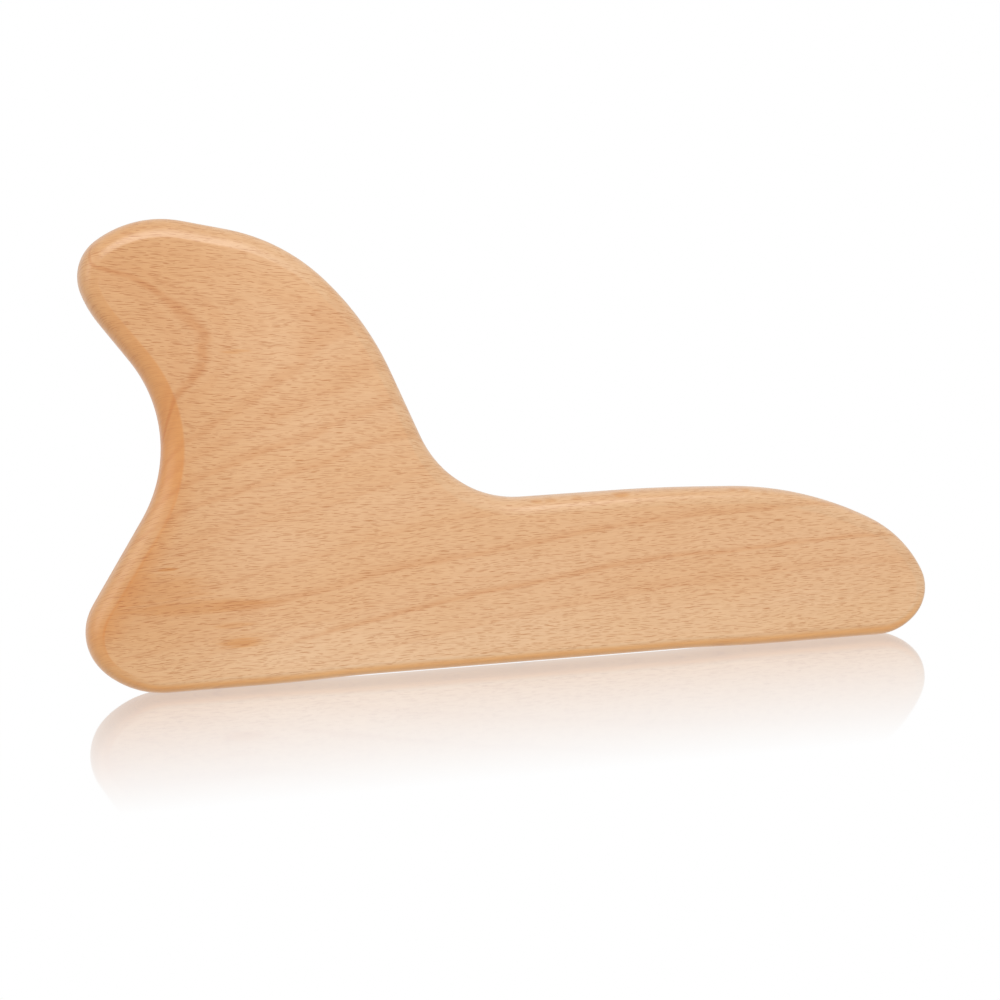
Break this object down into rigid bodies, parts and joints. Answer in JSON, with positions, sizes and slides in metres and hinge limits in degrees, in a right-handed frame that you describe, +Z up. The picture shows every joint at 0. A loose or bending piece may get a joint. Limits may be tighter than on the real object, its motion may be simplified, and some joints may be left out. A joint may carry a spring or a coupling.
{
  "type": "gua sha scraper",
  "caption": "Flat hardwood massage board with an upright fin, a curved waist, a rounded heel and a long tapering handle, all edges rounded over for drawing along the skin.",
  "frame": {"origin": "centre of the bounding box in plan, on the surface that the long edge stands on", "axes": "+X along the board from the heel to the handle's nose, +Y through the thickness from the front face to the back face, +Z up from the long edge to the top of the fin"},
  "size_m": [0.2698, 0.013, 0.1389],
  "materials": {
    "hardwood": "fine-sanded pale beech with a satin oil finish"
  },
  "bodies": {
    "root": {"scraper_body": "hardwood"}
  },
  "joints": []
}
